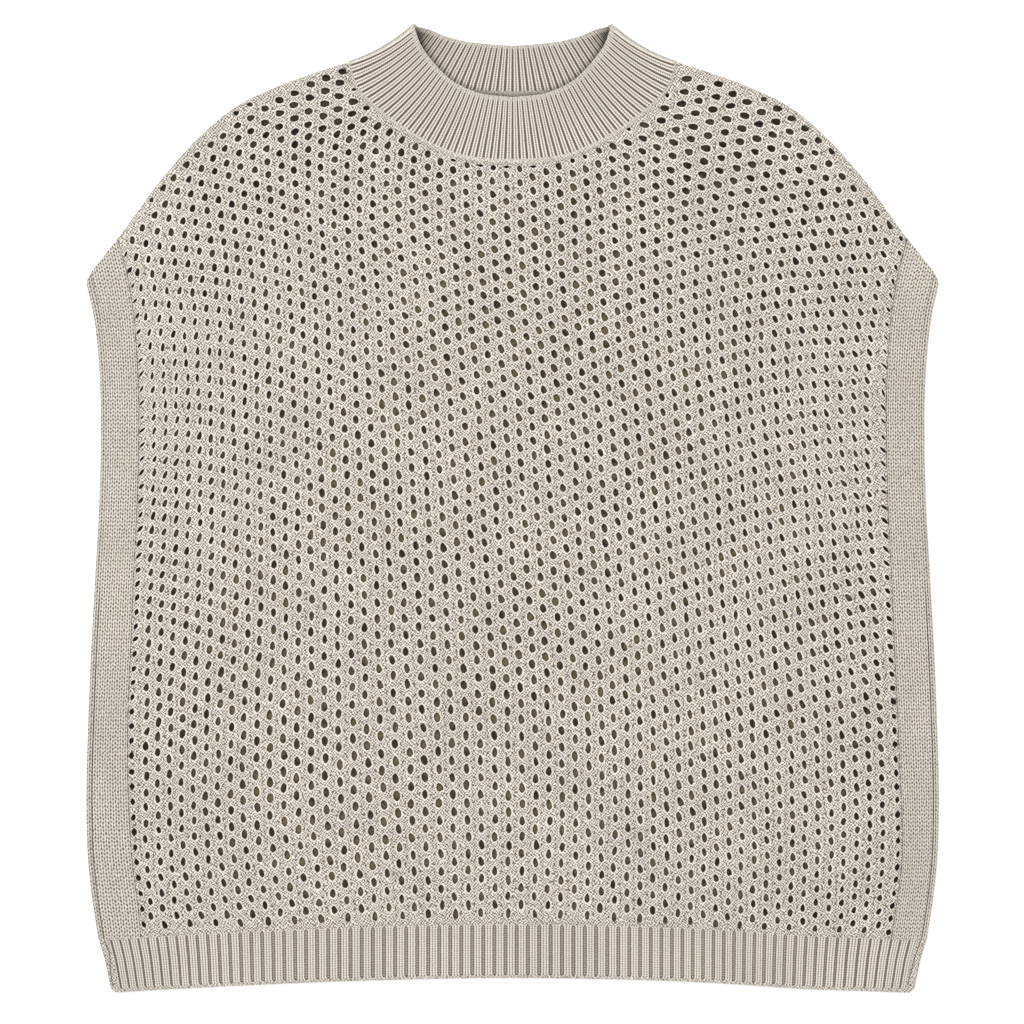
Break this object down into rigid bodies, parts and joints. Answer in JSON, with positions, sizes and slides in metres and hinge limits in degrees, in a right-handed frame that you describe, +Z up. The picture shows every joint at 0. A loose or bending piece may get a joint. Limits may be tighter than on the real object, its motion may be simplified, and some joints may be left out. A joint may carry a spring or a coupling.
{
  "type": "openwork knit vest",
  "caption": "Sleeveless openwork knit pullover vest lying flat, with plain knit armhole and side bands, a wide ribbed hem and a short ribbed mock neck.",
  "frame": {"origin": "on the surface that the vest lies on, under the middle of its box", "axes": "+Z up out of the surface, on the side of the vest's front; +Y towards the collar; +X to the right as the front is looked down on"},
  "size_m": [0.6226, 0.707, 0.0086],
  "materials": {
    "openwork_knit": "matt eyelet knit in oatmeal yarn",
    "plain_knit": "matt stockinette in oatmeal yarn",
    "rib_knit": "matt ribbed knit in oatmeal yarn"
  },
  "bodies": {
    "root": {"panel_front": "openwork_knit", "panel_back": "openwork_knit", "band_front_left": "plain_knit", "band_front_right": "plain_knit", "band_back_left": "plain_knit", "band_back_right": "plain_knit", "hem_front": "rib_knit", "hem_back": "rib_knit", "collar": "rib_knit"}
  },
  "joints": []
}
